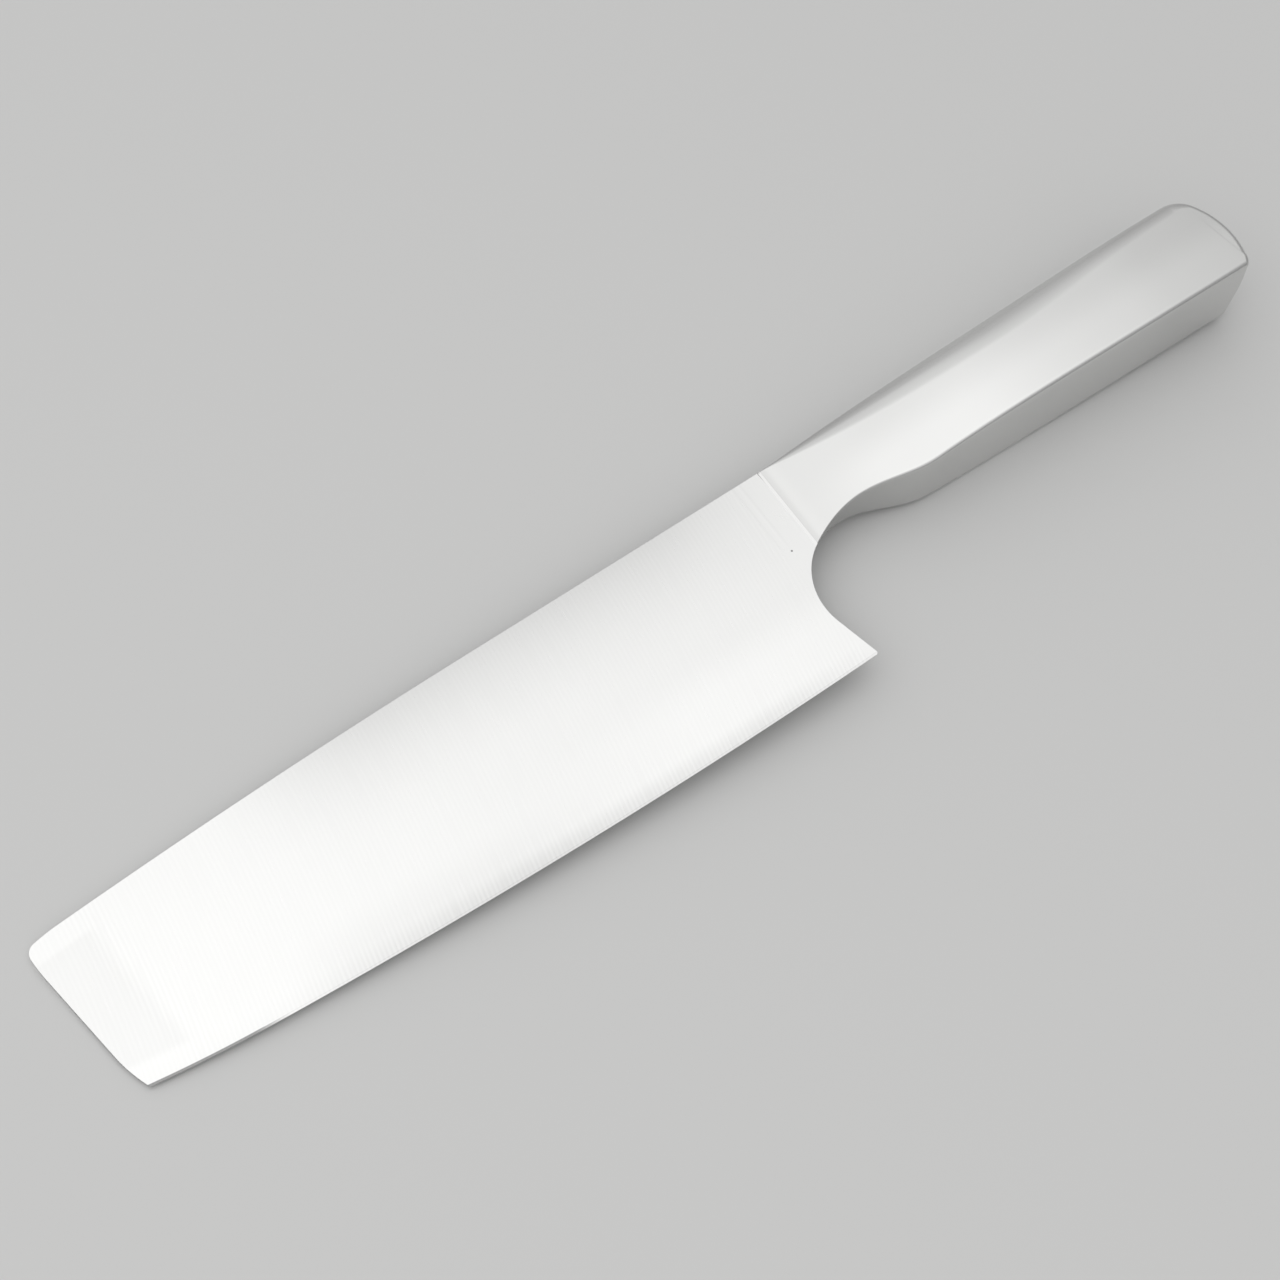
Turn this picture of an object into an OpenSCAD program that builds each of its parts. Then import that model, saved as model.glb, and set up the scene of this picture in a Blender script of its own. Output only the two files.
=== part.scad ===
// All-steel chopping knife lying on its side. X runs from the tip to the butt, Y towards the spine
// and Z up. The blade's middle plane is level, and the handle's right side is at the bottom.
// The handle is two pressed shells, welded to each other and to a solid neck.

/* [Blade] */
// Length of the blade from the tip to the heel
blade_len = 180; // [165:1:195]
// Depth of the blade below its spine, at the deepest place
blade_depth = 49.5; // [46:0.1:54]
// Thickness of the spine where the blade meets the neck
spine_thick = 2.3; // [2:0.1:3]
// Thickness of the ground wedge at the heel and at the chin
wedge_thick = 0.3; // [0.25:0.01:0.4]
// How far the spine falls from the neck to the tip
spine_drop = 5.4; // [4.4:0.1:6.4]
// How far the blade's spine lies below the neck's where they are welded
spine_step = 0.1; // [0:0.05:0.3]
// Lean of the straight rear stretch of the spine
spine_lean = 0.65; // [0.3:0.05:0.9]
// Radius of the main stretch of the cutting edge
edge_radius = 1590; // [1300:10:2200]
// Radius of the front stretch of the cutting edge, which rises to the chin
front_radius = 300; // [240:5:450]
// Length of the front stretch, measured from the tip
front_len = 30; // [24:1:45]
// Radius of the bend that leads the spine into the tip's corner
shoulder_radius = 43; // [30:1:60]
// Lean of the spine where the tip's corner starts
shoulder_lean = 11.5; // [9:0.5:14]
// Radius of the corner between the spine and the tip's end
tip_radius = 2.5; // [2:0.1:4]
// Radius of the bend that leads that corner into the tip's end
end_radius = 34; // [20:1:50]
// Lean of the tip's end from square
tip_lean = 8.2; // [4:0.1:14]
// Radius of the bend above the chin
chin_radius = 34; // [24:1:44]
// Lean of the tip's end at the chin
chin_lean = 24; // [20:1:28]
// Angle of each side of the cutting edge
bevel_angle = 15; // [12:1:20]
// Thickness left along the cutting edge
edge_thick = 0.06; // [0.04:0.01:0.1]
// Radius that takes the point off the heel
heel_round = 0.5; // [0.3:0.1:1]

/* [Notch] */
// Radius of the finger notch behind the heel
notch_radius = 15.4; // [14:0.1:17]
// How far behind the heel the notch is centred
notch_back = 12.3; // [11.4:0.1:13]
// How far above the blade's deepest line the notch is centred
notch_rise = 14.9; // [13.5:0.1:15.5]

/* [Neck] */
// How far behind the heel the blade is welded to the neck
seam_back = 4.6; // [4:0.1:6]
// Width of the weld across the neck
seam_width = 0.8; // [0.6:0.1:1.2]
// Width of the neck at its narrowest
neck_width = 18.1; // [17:0.1:19]
// How far behind the seam the neck is narrowest
neck_back = 11.8; // [10:0.1:14]
// How far behind the seam the flare to the handle's full thickness ends
flare_len = 90; // [80:1:100]
// Radius that softens the crease behind the seam
crease_radius = 2.5; // [1.5:0.1:4]
// How far behind the seam the shells are welded on
collar_back = 22; // [18:0.5:26]
// Length of the neck's spigot inside the shells
spigot_len = 6; // [4:0.5:9]

/* [Handle] */
// Length of the handle from the seam to the butt
handle_len = 127.1; // [120:0.1:140]
// Thickness of the handle from side to side
handle_thick = 21.6; // [20:0.1:23]
// How far the handle rises above the line of the spine
handle_rise = 1.6; // [0.5:0.1:3]
// How far the handle's underside lies below the line of the spine, where it starts
belly_depth = 22.1; // [21.5:0.1:23.5]
// How much lower the underside is at the butt
belly_fall = 0.3; // [0:0.1:1]
// How far behind the seam the straight underside starts
belly_back = 32; // [30:0.5:36]
// Radius of the butt's end, seen from the side
butt_radius = 19.6; // [18:0.1:24]
// How far below the line of the spine the butt's end is centred
butt_depth = 13; // [11:0.1:14]
// How far the butt's end bulges between its two faces
butt_crown = 2; // [1:0.1:2]
// Radius of the butt's corner at the spine
back_corner = 8; // [7.5:0.1:9]
// Radius of the butt's corner at the underside
belly_corner = 3.6; // [3.6:0.1:5]
// Height of the rounding on each side of the handle's back
back_round = 5; // [4.6:0.1:5.6]
// How far that rounding reaches in from the handle's back
back_spread = 7.6; // [7:0.1:8.4]
// Height of the same rounding at the butt's corner
tail_round = 3.6; // [3.2:0.1:4]
// How far it reaches in there
tail_spread = 4.2; // [3.8:0.1:4.6]
// Length over which it narrows towards the butt's corner
tail_len = 55; // [45:1:65]
// Radius of the handle's other edges
edge_round = 1.4; // [1.2:0.1:1.6]
// Thickness of the shells
wall = 1.2; // [1:0.1:1.4]
// Width of the welds that join the shells
bead_width = 1; // [0.8:0.1:1.4]
// Depth of the welds that join the shells
bead_depth = 0.6; // [0.4:0.1:0.8]

/* [Balance weight] */
// Length of the weight inside the handle
weight_len = 32; // [24:1:40]
// Width of the weight
weight_width = 13; // [10:0.5:14]
// Thickness of the weight
weight_thick = 12; // [8:0.5:14]
// Radius of the weight's corners
weight_corner = 2; // [1:0.5:4]
// How far from the butt the weight ends
weight_inset = 14; // [12:1:24]
// Thickness of the layer of glue under the weight
glue_thick = 0.4; // [0.2:0.1:0.8]

/* [Hidden] */

// Steps of the curves
arc_steps = 24;
long_steps = 32;
bend_steps = 8;
neck_steps = 24;
round_steps = 11;
wall_steps = 3;
side_steps = 30;
corner_steps = 9;
end_steps = 10;
weight_fn = 48;

// Clearance between the spigot and the shells, overrun of cuts, and least rounding of an edge
fit_gap = 0.05;
overrun = 2;
least_round = 0.15;

// Shares of the blade's length at which its spine starts to bend, and at which it is deepest
spine_bend_share = 0.59;
deepest_share = 0.794;
// Powers that shape the flare of the neck, and that crowd the shells' stations towards it
flare_power = 4.15;
crowd_power = 1.6;

// Places along the knife
seam_x = blade_len + seam_back;
neck_x = seam_x + seam_width / 2;
collar_x = seam_x + collar_back;
butt_x = seam_x + handle_len;
handle_half = handle_thick / 2;

function smooth(t) = let (s = min(max(t, 0), 1)) s * s * (3 - 2 * s);
function polar(a) = [cos(a), sin(a)];
function reverse(list) = [for (i = [len(list) - 1:-1:0]) list[i]];
function turn_of(along, r) = along / r * 180 / PI;
function arc(centre, r, from, to, steps) =
    [for (i = [0:steps]) centre + r * polar(from + (to - from) * i / steps)];

// Spine: straight behind, then one arc, and a tighter one that carries on to the tip's corner
spine_end = [neck_x, -spine_step];
spine_bend_x = blade_len * spine_bend_share;
spine_bend = spine_end - (neck_x - spine_bend_x) * [1, tan(spine_lean)];
spine_inwards = polar(spine_lean - 90);
spine_chord = [0, -spine_drop] - spine_bend;
spine_radius = spine_chord * spine_chord / (2 * spine_chord * spine_inwards);
spine_centre = spine_bend + spine_radius * spine_inwards;
shoulder_turn = 90 + shoulder_lean;
shoulder_x = tip_radius - (shoulder_radius - tip_radius) * cos(shoulder_turn);
shoulder_centre = [shoulder_x,
    spine_centre.y + sqrt(pow(spine_radius - shoulder_radius, 2) - pow(spine_centre.x - shoulder_x, 2))];
shoulder_start = atan2(shoulder_centre.y - spine_centre.y, shoulder_centre.x - spine_centre.x);
tip_centre = shoulder_centre + (shoulder_radius - tip_radius) * polar(shoulder_turn);

// Cutting edge: the main arc, and a tighter one that carries on from it to the chin
edge_centre = [blade_len * deepest_share, edge_radius - blade_depth];
join_turn = -90 - asin((edge_centre.x - front_len) / edge_radius);
join = edge_centre + edge_radius * polar(join_turn);
front_centre = join - front_radius * polar(join_turn);
heel_turn = -90 + asin((blade_len - edge_centre.x) / edge_radius);
heel = edge_centre + edge_radius * polar(heel_turn);

// End of the tip: a slow bend, a leaning line, then the bend above the chin, which meets the front arc
end_centre = [end_radius, tip_centre.y];
lean_start = end_centre + end_radius * polar(180 + tip_lean);
lean_way = polar(tip_lean - 90);
chin_offset = lean_start - chin_radius * polar(180 + tip_lean)
    + chin_radius * polar(180 + chin_lean) - front_centre;
chin_along = chin_offset * lean_way;
lean_len = -chin_along + sqrt(chin_along * chin_along - chin_offset * chin_offset
    + front_radius * front_radius);
bend_centre = lean_start + lean_len * lean_way - chin_radius * polar(180 + tip_lean);
chin = bend_centre + chin_radius * polar(180 + chin_lean);
chin_turn = atan2(chin.y - front_centre.y, chin.x - front_centre.x);

// Finger notch: a line from the heel that runs into an arc
notch_centre = [blade_len + notch_back, notch_rise - blade_depth];
heel_to_notch = notch_centre - heel;
notch_turn = atan2(heel_to_notch.y, heel_to_notch.x) + asin(notch_radius / norm(heel_to_notch)) + 90;
heel_half_turn = (notch_turn - 180 - heel_turn) / 2;
heel_setback = heel_round * tan(heel_half_turn);
heel_centre = heel - heel_round / cos(heel_half_turn) * polar(heel_turn + heel_half_turn);
notch_end_turn = 180 - acos((notch_centre.x - neck_x) / notch_radius);
notch_end = notch_centre + notch_radius * polar(notch_end_turn);

blade_outline = concat(
    [spine_end],
    arc(spine_centre, spine_radius, 90 + spine_lean, shoulder_start, arc_steps),
    arc(shoulder_centre, shoulder_radius, shoulder_start, shoulder_turn, bend_steps),
    arc(tip_centre, tip_radius, shoulder_turn, 180, arc_steps),
    arc(end_centre, end_radius, 180, 180 + tip_lean, bend_steps),
    arc(bend_centre, chin_radius, 180 + tip_lean, 180 + chin_lean, arc_steps),
    arc(front_centre, front_radius, chin_turn + 360, join_turn + 360, arc_steps),
    arc(edge_centre, edge_radius, join_turn, heel_turn - turn_of(heel_setback, edge_radius), long_steps),
    arc(heel_centre, heel_round, heel_turn, notch_turn - 180, round_steps),
    arc(notch_centre, notch_radius, notch_turn, notch_end_turn, arc_steps));

// Wedge that the blade is ground to: its thin side runs from the chin to the heel
wedge_turn = atan2(heel.y - chin.y, heel.x - chin.x);
wedge_up = polar(wedge_turn + 90);
wedge_depth = ([neck_x, 0] - heel) * wedge_up;
wedge_slope = (spine_thick - wedge_thick) / 2 / wedge_depth;
wedge_root = -wedge_thick / 2 / wedge_slope;
function wedge_half(x, y) = wedge_slope * (([x, y] - heel) * wedge_up - wedge_root);

// Handle seen from the side: its back and its underside, along X
function back_y(x) = handle_rise * smooth((x - seam_x - neck_back) / (handle_len - neck_back - butt_radius));
function under_y(x) =
    let (narrow_x = seam_x + neck_back)
    let (belly_x = seam_x + belly_back)
    let (run = narrow_x - neck_x)
    let (t = (x - neck_x) / run)
    let (start_slope = (notch_centre.x - neck_x) / (notch_end.y - notch_centre.y))
    x < narrow_x
        ? notch_end.y + start_slope * run * t * (1 - t) * (1 - t)
            + (-neck_width - notch_end.y) * smooth(t)
        : x < belly_x
            ? -neck_width - (belly_depth - neck_width) * smooth((x - narrow_x) / (belly_x - narrow_x))
            : -belly_depth - belly_fall * (x - belly_x) / (butt_x - belly_x);

// Half thickness: the blade's wedge at the neck, swelling to the level sides of the handle
function flare(x) =
    let (run = sqrt(pow(x - neck_x, 2) + pow(crease_radius, 2)) - crease_radius)
    1 - pow(1 - min(run / flare_len, 1), flare_power);
function half_at(x, y) = wedge_half(x, y) * (1 - flare(x)) + handle_half * flare(x);
function grown(x, full) = least_edge + (full - least_edge) * flare(x);

// Reach and height of the rounding above each stretch of the outline. The back's narrows to the butt.
least_edge = [least_round, least_round];
tail_edge = [tail_spread, tail_round];
side_edge = [edge_round, edge_round];
function back_edge(x) =
    [back_spread, back_round] * (1 - narrowing(x)) + tail_edge * narrowing(x);
function narrowing(x) = smooth(1 - (back_end_x - x) / tail_len);

// A station is a place on the outline: [x, y, way inwards, rounding above it, bulge]
function back_station(x) = [x, back_y(x), [0, -1], grown(x, back_edge(x)), 0];
function under_station(x) = [x, under_y(x), [0, 1], grown(x, side_edge), 0];
function butt_station(centre, r, turn, edge) =
    let (p = centre + r * polar(turn))
    [p.x, p.y, -polar(turn), edge, butt_crown * cos(turn)];

butt_centre = [butt_x - butt_radius, -butt_depth];
back_end_y = handle_rise - back_corner;
back_end_x = butt_centre.x + sqrt(pow(butt_radius - back_corner, 2) - pow(back_end_y - butt_centre.y, 2));
under_end_y = -belly_depth - belly_fall + belly_corner;
under_end_x = butt_centre.x + sqrt(pow(butt_radius - belly_corner, 2) - pow(under_end_y - butt_centre.y, 2));
back_turn = atan2(back_end_y - butt_centre.y, back_end_x - butt_centre.x);
under_turn = atan2(under_end_y - butt_centre.y, under_end_x - butt_centre.x);

function between(from, to, steps) = [for (i = [0:steps]) from + (to - from) * i / steps];
function crowded(from, to, steps) = [for (i = [0:steps]) from + (to - from) * pow(i / steps, crowd_power)];

stations = concat(
    [for (x = crowded(collar_x, back_end_x, side_steps)) back_station(x)],
    [for (i = [1:corner_steps]) butt_station([back_end_x, back_end_y], back_corner,
        90 + (back_turn - 90) * i / corner_steps,
        tail_edge + (side_edge - tail_edge) * i / corner_steps)],
    [for (i = [1:end_steps]) butt_station(butt_centre, butt_radius,
        back_turn + (under_turn - back_turn) * i / (end_steps + 1), side_edge)],
    [for (i = [corner_steps:-1:1]) butt_station([under_end_x, under_end_y], belly_corner,
        -90 + (under_turn + 90) * i / corner_steps, side_edge)],
    reverse([for (x = crowded(collar_x, under_end_x, side_steps)) under_station(x)]));

// Profile at a station, from the rim up: how far in and how high each point is
function profile(station, inset, low) =
    let (h = half_at(station[0], station[1]) - inset)
    let (reach = max(station[3].x - inset, least_round))
    let (rise = max(station[3].y - inset, least_round))
    let (bulge = station[4])
    let (turn = atan(2 * bulge / h * rise / reach))
    let (high = h - rise * (1 - sin(turn)))
    concat(
        [for (z = between(low, high, wall_steps)) [inset + bulge * pow(z / h, 2), z]],
        [for (i = [1:round_steps]) let (a = turn + (90 - turn) * i / round_steps)
            [inset + bulge * pow(high / h, 2) + reach * (cos(turn) - cos(a)),
                high + rise * (sin(a) - sin(turn))]]);
function place(station, p) =
    let (spot = [station[0], station[1]] + station[2] * p.x)
    [spot.x, spot.y, p.y];
function places(station, points) = [for (p = points) place(station, p)];

// Closed ring round the neck at x, inset from its surface
function ring(x, inset) =
    let (top = concat(
        places(back_station(x), profile(back_station(x), inset, 0)),
        reverse(places(under_station(x), profile(under_station(x), inset, 0)))))
    concat(top, [for (i = [len(top) - 2:-1:1]) [top[i].x, top[i].y, -top[i].z]]);

function quad(a, b, c, d) = [[a, b, c], [a, c, d]];
function middle(points) = [for (p = points) 1 / len(points)] * points;
// Skins rings that have the same number of points. The last joins the first, or each end is closed.
module loft(rings, closed = false) {
    m = len(rings[0]);
    n = len(rings);
    last = (n - 1) * m;
    sides = [for (k = [0:closed ? n - 1 : n - 2]) for (j = [0:m - 1])
        each quad(k * m + j, (k + 1) % n * m + j, (k + 1) % n * m + (j + 1) % m, k * m + (j + 1) % m)];
    ends = closed ? [] : [for (j = [0:m - 1])
        each [[n * m, j, (j + 1) % m], [n * m + 1, last + (j + 1) % m, last + j]]];
    middles = closed ? [] : [middle(rings[0]), middle(rings[n - 1])];
    polyhedron(points = concat([for (r = rings) each r], middles), faces = concat(sides, ends));
}

// Moves the knife so that the middle of its box stands on the origin
module in_place() {
    translate([-butt_x / 2, -(handle_rise - blade_depth) / 2, handle_half])
        children();
}

// Section of the cut that bevels the cutting edge, at one place along an arc of the edge
function bevel_ring(centre, r, turn) =
    let (rise = overrun * tan(bevel_angle))
    let (section = [
        [-overrun, spine_thick],
        [overrun, spine_thick],
        [overrun, edge_thick / 2 - rise],
        [-overrun, edge_thick / 2 + rise]])
    [for (p = section) let (spot = centre + (r + p.x) * polar(turn)) [spot.x, spot.y, p.y]];

module bevel_cut() {
    loft(concat(
        [bevel_ring(front_centre, front_radius, chin_turn + 360 - turn_of(overrun, front_radius))],
        [for (a = between(chin_turn + 360, join_turn + 360, arc_steps)) bevel_ring(front_centre, front_radius, a)],
        [for (i = [1:long_steps]) bevel_ring(edge_centre, edge_radius,
            join_turn + (heel_turn - join_turn) * i / long_steps)],
        [bevel_ring(edge_centre, edge_radius, heel_turn + turn_of(overrun, edge_radius))]));
}

// Part of the blade's wedge between two places along X
module wedge_part(from, to) {
    high = 2 * blade_depth;
    half = wedge_slope * (high - wedge_root);
    intersection() {
        linear_extrude(2 * spine_thick, center = true)
            intersection() {
                polygon(blade_outline);
                translate([from, -blade_depth - overrun])
                    square([to - from, blade_depth + 2 * overrun]);
            }
        translate([heel.x, heel.y, 0])
            rotate([90, 0, 90 + wedge_turn])
                linear_extrude(3 * blade_len, center = true)
                    polygon([[wedge_root, 0], [high, -half], [high, half]]);
    }
}

module blade() {
    color("gainsboro")
    in_place()
        difference() {
            wedge_part(-overrun, seam_x - seam_width / 2);
            bevel_cut();
            mirror([0, 0, 1])
                bevel_cut();
        }
}

module neck_weld() {
    color("white")
    in_place()
        wedge_part(seam_x - seam_width / 2, neck_x);
}

module neck() {
    groove_x = collar_x - bead_width;
    spigot_inset = wall + fit_gap;
    color("lightgray")
    in_place()
        loft(concat(
            [for (x = between(neck_x, groove_x, neck_steps)) ring(x, 0)],
            [ring(groove_x, bead_depth)],
            [ring(collar_x, bead_depth)],
            [ring(collar_x, spigot_inset)],
            [ring(collar_x + spigot_len, spigot_inset)]));
}

module collar_weld() {
    groove_x = collar_x - bead_width;
    color("lightgray")
    in_place()
        loft([ring(groove_x, 0), ring(collar_x, 0), ring(collar_x, bead_depth), ring(groove_x, bead_depth)],
            closed = true);
}

// Left half of the handle's skin. At each station one chain of points runs from the flat side down
// the outside, round the rim with its weld groove and up the inside.
module shell() {
    rim = bead_width / 2;
    chains = [for (s = stations) places(s, concat(
        reverse(profile(s, 0, rim)),
        [[bead_depth, rim], [bead_depth, 0]],
        profile(s, wall, 0)))];
    m = len(chains[0]);
    n = len(chains);
    sides = [for (k = [0:n - 2]) for (j = [0:m - 2])
        each quad(k * m + j, k * m + j + 1, (k + 1) * m + j + 1, (k + 1) * m + j)];
    outside = [for (k = [0:n / 2 - 2])
        each quad(k * m, (k + 1) * m, (n - 2 - k) * m, (n - 1 - k) * m)];
    inside = [for (k = [0:n / 2 - 2])
        each quad((n - 1 - k) * m + m - 1, (n - 2 - k) * m + m - 1, (k + 1) * m + m - 1, k * m + m - 1)];
    front = [concat([for (j = [m - 1:-1:0]) j], [for (j = [0:m - 1]) (n - 1) * m + j])];
    polyhedron(points = [for (c = chains) each c], faces = concat(sides, outside, inside, front));
}

module left_shell() {
    color("silver")
    in_place()
        shell();
}

module right_shell() {
    color("silver")
    in_place()
        mirror([0, 0, 1])
            shell();
}

module shell_weld() {
    color("lightgray")
    in_place()
        linear_extrude(bead_width, center = true)
            polygon(concat(
                [for (s = stations) [s[0], s[1]]],
                reverse([for (s = stations) [s[0], s[1]] + s[2] * bead_depth])));
}

// The weight lies in the middle of the level stretch of the right shell's inside
weight_x = butt_x - weight_inset - weight_len;
weight_y = (back_y(butt_x) - back_spread + under_y(butt_x) + wall) / 2;
weight_floor = wall - half_at(weight_x, weight_y);

module weight_plan(margin) {
    corner = weight_corner;
    across = weight_width - 2 * margin;
    along = weight_len - 2 * margin;
    translate([weight_x + margin, weight_y - across / 2]) {
        translate([corner, 0])
            square([along - 2 * corner, across]);
        translate([0, corner])
            square([along, across - 2 * corner]);
        for (x = [corner, along - corner])
            for (y = [corner, across - corner])
                translate([x, y])
                    circle(corner, $fn = weight_fn);
    }
}

module balance_weight() {
    color("dimgray")
    in_place()
        translate([0, 0, weight_floor + glue_thick])
            linear_extrude(weight_thick)
                weight_plan(0);
}

module weight_glue() {
    color("tan")
    in_place()
        translate([0, 0, weight_floor])
            linear_extrude(glue_thick)
                weight_plan(weight_corner / 2);
}

blade();
neck_weld();
neck();
collar_weld();
left_shell();
right_shell();
shell_weld();
balance_weight();
weight_glue();
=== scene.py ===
import math

import bmesh
import bpy
from mathutils import Matrix, Vector, kdtree


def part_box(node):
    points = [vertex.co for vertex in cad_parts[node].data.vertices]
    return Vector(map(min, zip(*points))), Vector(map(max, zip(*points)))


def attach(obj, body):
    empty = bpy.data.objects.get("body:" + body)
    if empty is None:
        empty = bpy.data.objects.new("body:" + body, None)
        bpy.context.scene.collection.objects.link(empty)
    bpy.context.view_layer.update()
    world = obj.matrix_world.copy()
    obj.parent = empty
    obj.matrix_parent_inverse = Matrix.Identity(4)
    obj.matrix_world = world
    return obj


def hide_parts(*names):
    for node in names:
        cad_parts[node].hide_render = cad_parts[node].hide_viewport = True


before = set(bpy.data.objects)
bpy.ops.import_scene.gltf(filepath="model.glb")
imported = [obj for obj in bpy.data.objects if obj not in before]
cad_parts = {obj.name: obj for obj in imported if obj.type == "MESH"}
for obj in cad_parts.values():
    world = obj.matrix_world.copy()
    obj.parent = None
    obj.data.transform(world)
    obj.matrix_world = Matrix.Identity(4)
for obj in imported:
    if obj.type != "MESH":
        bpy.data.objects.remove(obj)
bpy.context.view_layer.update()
print("frame loaded:", ", ".join(sorted(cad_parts)))

mm = 0.001
bladeLow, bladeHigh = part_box("blade")
middleZ = (bladeLow.z + bladeHigh.z) / 2
bladeDepth = 49.5 * mm
knifeCorner = Vector((bladeLow.x, bladeLow.y + bladeDepth, 0))  # tip's end, and the line of the spine


# The camera stands where the photo was taken from, in the knife's own frame
photoCamera = {
    "place": Vector((-0.175, -0.15986, 0.47719)),
    "forward": Vector((0.3055, 0.3187, -0.8973)),
    "up": Vector((0.5025, 0.7465, 0.4362)),
    "lens": 69.19,
    "sensor": 36,
    "clipStart": 10 * mm,
}


def makeCamera():
    camera = bpy.data.objects.new("camera", bpy.data.cameras.new("camera"))
    bpy.context.scene.collection.objects.link(camera)
    back = -photoCamera["forward"].normalized()
    right = photoCamera["up"].cross(back).normalized()
    turn = Matrix((right, back.cross(right), back)).transposed()
    camera.matrix_world = Matrix.Translation(photoCamera["place"]) @ turn.to_4x4()
    camera.data.lens = photoCamera["lens"]
    camera.data.sensor_width = photoCamera["sensor"]
    camera.data.clip_start = photoCamera["clipStart"]
    bpy.context.scene.camera = camera
    print("camera placed")


# Helpers for node materials
def newMaterial(name):
    material = bpy.data.materials.new(name)
    material.use_nodes = True
    nodes = material.node_tree.nodes
    nodes.clear()
    output = nodes.new("ShaderNodeOutputMaterial")
    shader = nodes.new("ShaderNodeBsdfPrincipled")
    material.node_tree.links.new(shader.outputs["BSDF"], output.inputs["Surface"])
    return material, shader


def addNode(material, kind, **inputs):
    node = material.node_tree.nodes.new(kind)
    for name, value in inputs.items():
        node.inputs[name.replace("_", " ")].default_value = value
    return node


def join(material, output, socket):
    material.node_tree.links.new(output, socket)


def objectCoords(material):
    return material.node_tree.nodes.new("ShaderNodeTexCoord").outputs["Object"]


def mathNode(material, operation, first, second=0.0, third=0.0):
    node = material.node_tree.nodes.new("ShaderNodeMath")
    node.operation = operation
    for socket, value in zip(node.inputs, (first, second, third)):
        if isinstance(value, (int, float)):
            socket.default_value = value
        else:
            join(material, value, socket)
    return node.outputs[0]


def fade(material, value, start, end):
    node = material.node_tree.nodes.new("ShaderNodeMapRange")
    node.interpolation_type = "SMOOTHSTEP"
    join(material, value, node.inputs["Value"])
    node.inputs["From Min"].default_value = start
    node.inputs["From Max"].default_value = end
    return node.outputs["Result"]


def axisValues(material, vector):
    node = material.node_tree.nodes.new("ShaderNodeSeparateXYZ")
    join(material, vector, node.inputs[0])
    return node.outputs


def mapped(material, vector, **settings):
    mapping = addNode(material, "ShaderNodeMapping", **settings)
    join(material, vector, mapping.inputs["Vector"])
    return mapping.outputs[0]


# Object coordinates counted from the knife's corner and pressed flat: X to the butt, Y to the spine
def knifeCoords(material):
    return mapped(material, objectCoords(material), Location=-knifeCorner, Scale=(1, 1, 0))


def distanceFrom(material, centre):
    node = material.node_tree.nodes.new("ShaderNodeVectorMath")
    node.operation = "DISTANCE"
    join(material, knifeCoords(material), node.inputs[0])
    node.inputs[1].default_value = centre
    return node.outputs["Value"]


def insideCircle(material, radius, centre):
    return mathNode(material, "SUBTRACT", radius, distanceFrom(material, centre))


def noiseOf(material, vector, size=1.0, detail=2.0):
    noise = addNode(material, "ShaderNodeTexNoise", Scale=1 / size, Detail=detail, Roughness=0.5)
    join(material, vector, noise.inputs["Vector"])
    return noise.outputs["Fac"]


def clouds(material, size, detail=2.0):
    return noiseOf(material, objectCoords(material), size, detail)


# Noise whose patches have the given size along X, Y and Z
def streaks(material, vector, *patch):
    scale = [1 / size for size in patch]
    return noiseOf(material, mapped(material, vector, Scale=scale))


def plus(material, *values):
    total = values[0]
    for value in values[1:]:
        total = mathNode(material, "ADD", total, value)
    return total


def times(material, *values):
    product = values[0]
    for value in values[1:]:
        product = mathNode(material, "MULTIPLY", product, value)
    return product


# A pattern from 0 to 1 becomes one that swings by amount to each side of zero
def swing(material, pattern, amount):
    centred = mathNode(material, "SUBTRACT", pattern, 0.5)
    return times(material, centred, times(material, amount, 2))


# A soft line along Y at x, as wide as width
def lineAt(material, x, place, width):
    away = mathNode(material, "ABSOLUTE", mathNode(material, "SUBTRACT", x, place))
    return fade(material, away, width, 0)


# A round spot at centre, full over the inner half of its radius
def spotAt(material, centre, radius):
    return fade(material, distanceFrom(material, centre), radius, radius / 2)


# A sum of soft shades. Each row has the shade's strength, and then the stretches over which it comes in:
# what is measured, where the shade starts and where it is full, both in mm.
def sumShades(material, measures, rows):
    paintedShades = []
    for strength, *stretches in rows:
        fades = [fade(material, measures[name], start * mm, full * mm) for name, start, full in stretches]
        paintedShades.append(times(material, *fades, strength))
    return plus(material, *paintedShades)


def paintTone(material, shader, color, change):
    tone = plus(material, change, 1.0)
    scaled = material.node_tree.nodes.new("ShaderNodeVectorMath")
    scaled.operation = "SCALE"
    scaled.inputs[0].default_value = color
    join(material, tone, scaled.inputs["Scale"])
    join(material, scaled.outputs[0], shader.inputs["Base Color"])


def roughen(material, shader, pattern, middle, spread):
    rough = plus(material, swing(material, pattern, spread), middle)
    join(material, rough, shader.inputs["Roughness"])


def addBump(material, shader, height, distance):
    bump = addNode(material, "ShaderNodeBump", Strength=1.0, Distance=distance)
    join(material, height, bump.inputs["Height"])
    join(material, bump.outputs[0], shader.inputs["Normal"])


# The blade's outline on the knife's own coordinates: the cutting edge is two arcs, the spine is one
# towards the tip, and the tip's end is nearly straight
bladeShape = {
    "mainCentre": Vector((142.9, 1540.5, 0)) * mm,
    "mainRadius": 1590 * mm,
    "frontCentre": Vector((51.3, 253.8, 0)) * mm,
    "frontRadius": 300 * mm,
    "frontLength": 30 * mm,
    "spineCentre": Vector((126.2, -1765.7, 0)) * mm,
    "spineRadius": 1764.8 * mm,
    "tipEndX": -1.5 * mm,
    "tipEndLean": math.radians(8.2),
}

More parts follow.
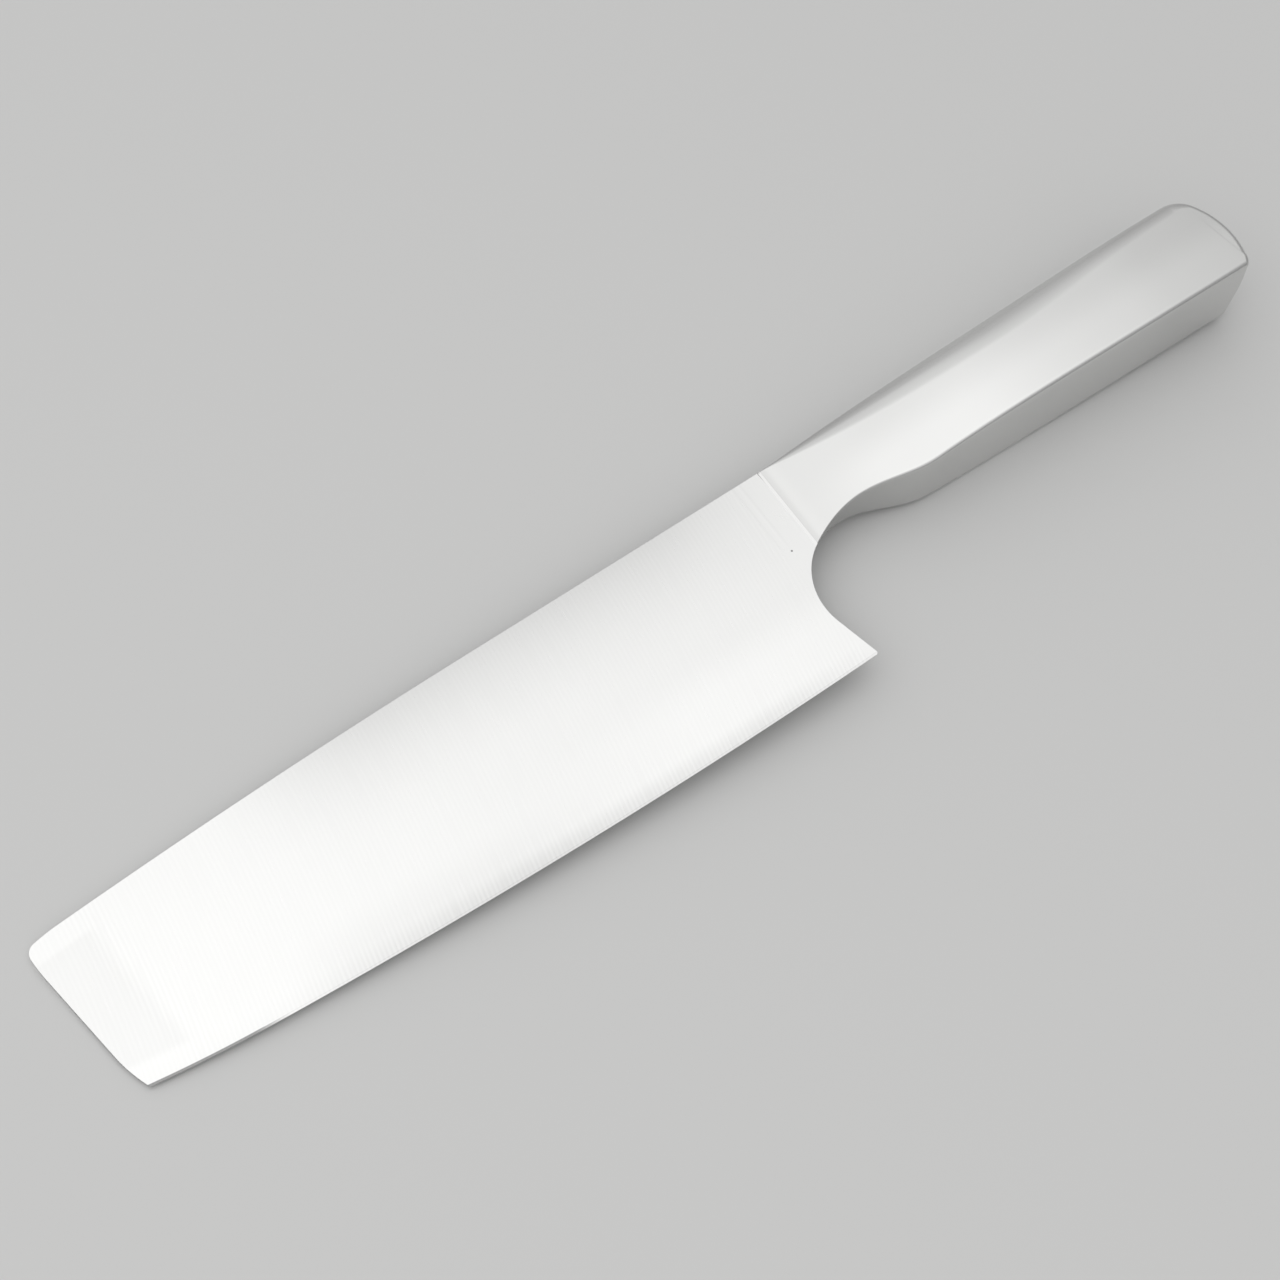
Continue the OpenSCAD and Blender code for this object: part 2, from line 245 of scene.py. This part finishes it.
# Grinding lines lean towards the tip as they run down, more so near the edge, and stop short of the neck.
# Sizes of patches are across and along the lines.
bladeFinish = {
    "color": (0.708, 0.708, 0.7),
    "roughness": 0.29,
    "roughnessSpread": 0.04,
    "lineLean": math.radians(5),
    "lineBow": 1.45,
    "linePitch": 1.04 * mm,
    "lineBump": 0.6,
    "wander": 3,  # in radians of the ripple
    "wanderPatch": (5.2 * mm, 30 * mm),
    "unevenPatch": (1.3 * mm, 20 * mm),
    "unevenShown": (0.2, 0.55),
    "lineSwings": (
        (0.01,),  # everywhere
        (0.02, ("edge", 8, 0.5), ("x", 15, 60)),  # near the cutting edge
        (0.01, ("tipEnd", 8, 12), ("tipEnd", 19, 15)),  # in a band behind the tip's end
    ),
    "linesEnd": (177.8 * mm, 177 * mm),
    "scratchPatch": (0.16 * mm, 7.5 * mm),
    "scratchSwing": 0.012,
    "bump": 0.003 * mm,
    "cloudSize": 14 * mm,
    "cloudSwing": 0.01,
    # Painted shade and light where the lamps' reflections fall: darker along the edge, brighter before the
    # heel, darker at the tip and on the front of the bevel
    "paintedShades": (
        (-0.108, ("edge", 4.8, 0.5), ("x", 20, 100), ("x", 185, 150)),  # painted shade along the edge, most at mid-blade
        (-0.012, ("edge", 4.8, 0.5)),
        (-0.06, ("edge", 14, 3), ("x", 35, 60), ("x", 115, 85)),  # a wider band of painted shade along the edge
        (0.06, ("y", -27, -38), ("x", 95, 150)),  # painted light: the part before the heel is brighter
        (-0.045, ("tipEnd", 15, 10.5), ("spine", 4.05, 5.4), ("edge", 4, 6)),  # painted shade: a greyer patch at the tip
        (-0.62, ("edge", 0.49, 0.43), ("x", 37, 27)),  # painted shade on the front of the bevel
    ),
    "spineBand": 26 * mm,  # painted shade, darker with the square of the way through it
    "paintedSpineShades": ((-0.19, ("x", 40, 85), ("x", 190, 150)),),
    "endLines": ((177.4 * mm, -0.03), (178.6 * mm, 0.015), (179.3 * mm, -0.03)),  # place and shade
    "endLineWidth": 0.5 * mm,
    "endLinesFrom": (-20 * mm, -15 * mm),
    "bevel": 0.46 * mm,
    "bevelLineWidth": 0.12 * mm,
    "bevelLineShade": -0.12,
    "pit": Vector((179.15, -19.45, 0)) * mm,
    "pitRadius": 0.3 * mm,
    "pitShade": -0.75,
}


# How far in a point is from the cutting edge, the spine and the tip's end, and its place along the knife
def bladeMeasures(material):
    shape = bladeShape
    x, y = axisValues(material, knifeCoords(material))[:2]
    fromMain = insideCircle(material, shape["mainRadius"], shape["mainCentre"])
    fromFront = insideCircle(material, shape["frontRadius"], shape["frontCentre"])
    inFront = mathNode(material, "LESS_THAN", x, shape["frontLength"])
    difference = mathNode(material, "SUBTRACT", fromFront, fromMain)
    leaned = mathNode(material, "MULTIPLY_ADD", y, math.tan(shape["tipEndLean"]), x)
    return {
        "x": x,
        "y": y,
        "edge": plus(material, fromMain, times(material, inFront, difference)),
        "spine": insideCircle(material, shape["spineRadius"], shape["spineCentre"]),
        "tipEnd": mathNode(material, "SUBTRACT", leaned, shape["tipEndX"]),
    }


# A ripple across the blade that wanders and is uneven, and fine scratches along it
def grindingLines(material, x, y):
    finish = bladeFinish
    slant = mathNode(material, "MULTIPLY_ADD", y, -math.tan(finish["lineLean"]), x)
    across = plus(material, slant, times(material, y, y, finish["lineBow"]))
    lineCoords = material.node_tree.nodes.new("ShaderNodeCombineXYZ")
    join(material, across, lineCoords.inputs["X"])
    join(material, y, lineCoords.inputs["Y"])
    lineCoords = lineCoords.outputs[0]
    wander = streaks(material, lineCoords, *finish["wanderPatch"], 1)
    shift = times(material, wander, finish["wander"])
    turns = mathNode(material, "MULTIPLY_ADD", across, math.tau / finish["linePitch"], shift)
    ripple = mathNode(material, "MULTIPLY_ADD", mathNode(material, "SINE", turns), 0.5, 0.5)
    uneven = streaks(material, lineCoords, *finish["unevenPatch"], 1)
    ripple = times(material, ripple, fade(material, uneven, *finish["unevenShown"]))
    return ripple, streaks(material, lineCoords, *finish["scratchPatch"], 1)


def makeBladeSteel():
    finish = bladeFinish
    material, shader = newMaterial("groundBladeSteel")
    shader.inputs["Metallic"].default_value = 1.0
    measures = bladeMeasures(material)
    x, y = measures["x"], measures["y"]
    ripple, scratches = grindingLines(material, x, y)
    lineAmount = sumShades(material, measures, finish["lineSwings"])
    lineAmount = times(material, lineAmount, fade(material, x, *finish["linesEnd"]))
    # Painted shade: the blade darkens towards its spine from mid-blade on
    towardsSpine = mathNode(material, "MULTIPLY_ADD", measures["spine"], -1 / finish["spineBand"], 1.0)
    towardsSpine = mathNode(material, "MAXIMUM", towardsSpine, 0.0)
    paintedSpineShade = sumShades(material, measures, finish["paintedSpineShades"])
    bevelLine = lineAt(material, measures["edge"], finish["bevel"], finish["bevelLineWidth"])
    pit = spotAt(material, finish["pit"], finish["pitRadius"])
    # The colour changes with the grinding lines, scratches and clouds, with painted shade and light, and
    # with the bevel's line and the pit
    change = plus(
        material,
        swing(material, ripple, lineAmount),
        swing(material, scratches, finish["scratchSwing"]),
        swing(material, clouds(material, finish["cloudSize"]), finish["cloudSwing"]),
        sumShades(material, measures, finish["paintedShades"]),
        times(material, towardsSpine, towardsSpine, paintedSpineShade),
        times(material, bevelLine, finish["bevelLineShade"]),
        times(material, pit, finish["pitShade"]))
    upperPart = fade(material, y, *finish["endLinesFrom"])
    for place, shade in finish["endLines"]:
        line = lineAt(material, x, place, finish["endLineWidth"])
        change = plus(material, change, times(material, line, upperPart, shade))
    paintTone(material, shader, finish["color"], change)
    roughen(material, shader, scratches, finish["roughness"], finish["roughnessSpread"])
    relief = plus(material, times(material, ripple, finish["lineBump"]), scratches)
    addBump(material, shader, relief, finish["bump"])
    return material


# Brushed so finely that it looks satin
handleFinish = {
    "color": (0.672, 0.672, 0.664),
    "roughness": 0.27,
    "roughnessSpread": 0.005,
    "brushPatch": (5 * mm, 0.12 * mm, 0.12 * mm),
    "brushSwing": 0.002,
    "bump": 0.00003 * mm,
    "grain": 0.35 * mm,
    "grainSwing": 0.005,
    "cloudSize": 16 * mm,
    "cloudSwing": 0.01,
    # Painted shade and light along the handle
    "paintedShades": (
        (-0.1295, ("x", 236, 190)),  # painted shade: the neck is darker
        (-0.0555, ("x", 236, 190), ("x", 184.6, 190)),  # less of this painted shade right at the seam
        (-0.05, ("x", 274, 290)),  # painted shade: the butt is darker
        (0.09, ("y", -6, -16), ("x", 186, 212)),  # painted light: the side gets brighter away from its back
    ),
}


def makeHandleSteel():
    finish = handleFinish
    material, shader = newMaterial("satinHandleSteel")
    shader.inputs["Metallic"].default_value = 1.0
    brush = streaks(material, objectCoords(material), *finish["brushPatch"])
    x, y = axisValues(material, knifeCoords(material))[:2]
    # The colour change carries painted shade and light besides the brush, grain and clouds
    change = plus(
        material,
        sumShades(material, {"x": x, "y": y}, finish["paintedShades"]),
        swing(material, brush, finish["brushSwing"]),
        swing(material, clouds(material, finish["grain"]), finish["grainSwing"]),
        swing(material, clouds(material, finish["cloudSize"]), finish["cloudSwing"]))
    paintTone(material, shader, finish["color"], change)
    roughen(material, shader, brush, finish["roughness"], finish["roughnessSpread"])
    addBump(material, shader, brush, finish["bump"])
    return material


weldFinish = {
    "color": (0.71, 0.71, 0.702),
    "roughness": 0.24,
    "roughnessSpread": 0.03,
    "ripple": 0.5 * mm,
    "rippleSwing": 0.01,
    "bump": 0.0005 * mm,
    "sideLine": 0.14 * mm,
    "sideShade": -0.05,
    "nick": 0.35 * mm,
    "nickShade": -0.3,
}


# A fine dark line runs down each side of the band, and a nick is left at the spine
def makeWeldSteel():
    finish = weldFinish
    low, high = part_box("neck_weld")
    material, shader = newMaterial("groundWeld")
    shader.inputs["Metallic"].default_value = 1.0
    ripple = clouds(material, finish["ripple"])
    x = axisValues(material, objectCoords(material))[0]
    sides = plus(material, *(lineAt(material, x, side, finish["sideLine"]) for side in (low.x, high.x)))
    spineCorner = Vector(((low.x + high.x) / 2, high.y, 0)) - knifeCorner
    change = plus(
        material,
        swing(material, ripple, finish["rippleSwing"]),
        times(material, sides, finish["sideShade"]),
        times(material, spotAt(material, spineCorner, finish["nick"]), finish["nickShade"]))
    paintTone(material, shader, finish["color"], change)
    roughen(material, shader, ripple, finish["roughness"], finish["roughnessSpread"])
    addBump(material, shader, ripple, finish["bump"])
    return material


# The weight and its glue are inside the handle and keep their nodes' own shape
hiddenFinishes = {
    "castWeight": {
        "node": "balance_weight",
        "sockets": {"Metallic": 0.9},
        "color": (0.16, 0.16, 0.17),
        "colorSwing": 0.25,
        "grain": (0.6 * mm, 4),
        "roughness": (0.55, 0.12),
        "bump": 0.08 * mm,
    },
    "curedGlue": {
        "node": "weight_glue",
        "sockets": {"IOR": 1.5},
        "color": (0.55, 0.4, 0.2),
        "colorSwing": 0.15,
        "grain": (2 * mm, 3),
        "roughness": (0.4, 0.08),
        "bump": 0.05 * mm,
    },
}


def dressHidden():
    for name, finish in hiddenFinishes.items():
        material, shader = newMaterial(name)
        for socket, value in finish["sockets"].items():
            shader.inputs[socket].default_value = value
        grain = clouds(material, *finish["grain"])
        paintTone(material, shader, finish["color"], swing(material, grain, finish["colorSwing"]))
        roughen(material, shader, grain, *finish["roughness"])
        addBump(material, shader, grain, finish["bump"])
        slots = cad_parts[finish["node"]].data.materials
        slots.clear()
        slots.append(material)
        print("material given to", finish["node"])


mergeWithin = 0.0005 * mm


# Pieces that show: each starts from its node's own shape, with loose triangles merged
def mergedCopy(nodeName):
    mesh = bmesh.new()
    mesh.from_mesh(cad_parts[nodeName].data)
    bmesh.ops.remove_doubles(mesh, verts=mesh.verts, dist=mergeWithin)
    return mesh


def finishPiece(mesh, pieceName, nodeName, material):
    data = bpy.data.meshes.new(pieceName)
    for face in mesh.faces:
        face.smooth = True
    mesh.to_mesh(data)
    mesh.free()
    piece = bpy.data.objects.new(pieceName, data)
    bpy.context.scene.collection.objects.link(piece)
    data.materials.append(material)
    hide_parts(nodeName)
    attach(piece, "root")
    print("piece made:", pieceName)
    return piece


def shadeCrisply(piece, sharpFrom):
    piece.data.set_sharp_from_angle(angle=sharpFrom)
    normals = piece.modifiers.new("weightedNormals", "WEIGHTED_NORMAL")
    normals.keep_sharp = True


bladeEdges = {
    "easing": 0.12 * mm,
    "segments": 2,
    "squareFrom": math.radians(50),
    "edgeHalf": 0.05 * mm,
    "seamReach": 0.05 * mm,
    "flatWithin": math.radians(0.02),
    "sharpFrom": math.radians(8),
}


# The blade's spine, tip and notch have their sharp corners eased, and the cutting edge hasn't
def makeBlade(material):
    mesh = mergedCopy("blade")
    bmesh.ops.dissolve_limit(mesh, angle_limit=bladeEdges["flatWithin"], verts=mesh.verts, edges=mesh.edges)
    seamX = bladeHigh.x - bladeEdges["seamReach"]
    eased = []
    for edge in mesh.edges:
        corners = [v.co for v in edge.verts]
        square = len(edge.link_faces) == 2 and edge.calc_face_angle() > bladeEdges["squareFrom"]
        cutting = all(abs(p.z - middleZ) < bladeEdges["edgeHalf"] for p in corners)
        atSeam = all(p.x > seamX for p in corners)
        if square and not cutting and not atSeam:
            eased.append(edge)
    bmesh.ops.bevel(
        mesh,
        geom=eased,
        offset=bladeEdges["easing"],
        offset_type="OFFSET",
        affect="EDGES",
        segments=bladeEdges["segments"],
        profile=0.5,
        material=-1,
        clamp_overlap=True)
    piece = finishPiece(mesh, "bladeGround", "blade", material)
    shadeCrisply(piece, bladeEdges["sharpFrom"])


seamBand = {"dome": 0.002 * mm, "cuts": 7, "sharpFrom": math.radians(40)}


# The weld across the neck is ground to a very low dome, which makes it shine apart from its neighbours
def makeSeamBand(material):
    mesh = mergedCopy("neck_weld")
    low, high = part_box("neck_weld")
    along = [e for e in mesh.edges if abs(e.verts[0].co.x - e.verts[1].co.x) > (high.x - low.x) / 2]
    bmesh.ops.subdivide_edges(mesh, edges=along, cuts=seamBand["cuts"])
    for vert in mesh.verts:
        share = (vert.co.x - low.x) / (high.x - low.x)
        rise = seamBand["dome"] * 4 * share * (1 - share)  # a parabola, full at the middle of the band
        vert.co.z += math.copysign(rise, vert.co.z - middleZ)
    piece = finishPiece(mesh, "seamBand", "neck_weld", material)
    shadeCrisply(piece, seamBand["sharpFrom"])


handlePieces = (
    ("neckForged", "neck", "handle_steel"),
    ("collarBead", "collar_weld", "weld_steel"),
    ("shellLeft", "left_shell", "handle_steel"),
    ("shellRight", "right_shell", "handle_steel"),
    ("shellBead", "shell_weld", "weld_steel"),
)
flushShine = {
    "reach": 0.008 * mm,
    "turn": math.radians(35),
    "least": 1e-12,  # of the corner's own normal, so that no mean is zero
}


def cornerPlace(data, loop):
    return data.vertices[data.loops[loop].vertex_index].co


# The angle between the two sides of a face that meet at its corner number k
def cornerTurn(data, face, k):
    loops = face.loop_indices
    here, before, after = (cornerPlace(data, loops[i % len(loops)]) for i in (k, k - 1, k + 1))
    return (before - here).angle(after - here, 0)


# Pieces that are ground flush shine as one surface: a corner's normal is the mean, by area and angle, of
# the normals of all faces that meet there and turn away by less than the given angle, whichever piece
# they are on
def shadeFlush(pieces):
    corners = []
    for piece in pieces:
        data = piece.data
        for face in data.polygons:
            for k, loop in enumerate(face.loop_indices):
                weight = face.area * cornerTurn(data, face, k)
                corners.append((cornerPlace(data, loop).copy(), face.normal.copy(), weight))
    tree = kdtree.KDTree(len(corners))
    for k, (place, normal, weight) in enumerate(corners):
        tree.insert(place, k)
    tree.balance()
    nearly = math.cos(flushShine["turn"])
    done = 0
    for piece in pieces:
        normals = []
        for place, normal, weight in corners[done:done + len(piece.data.loops)]:
            mean = normal * flushShine["least"]
            for found, other, distance in tree.find_range(place, flushShine["reach"]):
                otherPlace, otherNormal, otherWeight = corners[other]
                if otherNormal.dot(normal) > nearly:
                    mean += otherNormal * otherWeight
            normals.append(mean.normalized())
        piece.data.normals_split_custom_set(normals)
        done += len(normals)


def makePieces():
    handleSteel = makeHandleSteel()
    makeBlade(makeBladeSteel())
    makeSeamBand(makeWeldSteel())
    handle = []
    for pieceName, nodeName, slotName in handlePieces:
        handle.append(finishPiece(mergedCopy(nodeName), pieceName, nodeName, handleSteel))
    shadeFlush(handle)
    dressHidden()


# The knife lies on its tip and on the front of its handle, so the floor leans a little in its frame
floorLook = {"radius": 30.0, "segments": 64, "color": (0.55, 0.55, 0.545), "roughness": 0.6}
tipReach = 3 * mm


# The steepest slope from the tip down to the handle's right side, which is where the floor touches it
def restingSlope(tip):
    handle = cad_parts["right_shell"].data.vertices
    return max((tip.z - v.co.z) / (v.co.x - tip.x) for v in handle)


def makeFloor():
    ends = [v.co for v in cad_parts["blade"].data.vertices if v.co.x < bladeLow.x + tipReach]
    tip = min(ends, key=lambda p: p.z)
    pitch = math.atan(restingSlope(tip))
    mesh = bmesh.new()
    bmesh.ops.create_circle(mesh, cap_ends=True, segments=floorLook["segments"],
                            radius=floorLook["radius"])
    place = Matrix.Translation(tip) @ Matrix.Rotation(pitch, 4, "Y")
    bmesh.ops.transform(mesh, matrix=place, verts=mesh.verts)
    data = bpy.data.meshes.new("floor")
    mesh.to_mesh(data)
    mesh.free()
    floor = bpy.data.objects.new("floor", data)
    bpy.context.scene.collection.objects.link(floor)
    material, shader = newMaterial("paleFloor")
    shader.inputs["Base Color"].default_value = (*floorLook["color"], 1)
    shader.inputs["Roughness"].default_value = floorLook["roughness"]
    data.materials.append(material)
    print("floor leans by", round(math.degrees(pitch), 2), "degrees under the tip at", tuple(tip))


# Three softboxes hang over the knife, one above the other. Brightness is written as radiance, which is
# a lamp's power divided by pi and by its area.
softboxes = {
    "keyBox": {"x": (-0.7, 0.7), "y": (-0.6, 0.46), "height": 1.0, "radiance": 0.36},
    "tipBox": {"x": (-0.9, 0.08), "y": (-0.5, 0.6), "height": 0.95, "radiance": 0.12},
    "wideBox": {"x": (-2.4, 0.88), "y": (-2.4, 1.6), "height": 1.05, "radiance": 0.27},
}
# The room round them is brighter overhead and on the spine's side, and darker beyond the butt
room = {"level": 0.53, "overhead": 0.22, "spineSide": 0.13, "buttSide": -0.22}


def makeLights():
    for name, box in softboxes.items():
        lamp = bpy.data.lights.new(name, "AREA")
        lamp.shape = "RECTANGLE"
        lamp.size = box["x"][1] - box["x"][0]
        lamp.size_y = box["y"][1] - box["y"][0]
        lamp.energy = box["radiance"] * math.pi * lamp.size * lamp.size_y
        light = bpy.data.objects.new(name, lamp)
        light.location = (sum(box["x"]) / 2, sum(box["y"]) / 2, box["height"])
        bpy.context.scene.collection.objects.link(light)
    world = bpy.data.worlds.new("studio")
    world.use_nodes = True
    x, y, z = axisValues(world, world.node_tree.nodes.new("ShaderNodeTexCoord").outputs["Generated"])
    strength = plus(
        world,
        times(world, x, room["buttSide"]),
        times(world, y, room["spineSide"]),
        times(world, z, room["overhead"]),
        room["level"])
    sky = world.node_tree.nodes["Background"]
    sky.inputs["Color"].default_value = (1, 1, 1, 1)
    join(world, strength, sky.inputs["Strength"])
    bpy.context.scene.world = world
    print("lights hung:", ", ".join(softboxes))


makeCamera()
makePieces()
makeFloor()
makeLights()
bpy.context.scene.view_settings.view_transform = "Standard"
print("scene built")
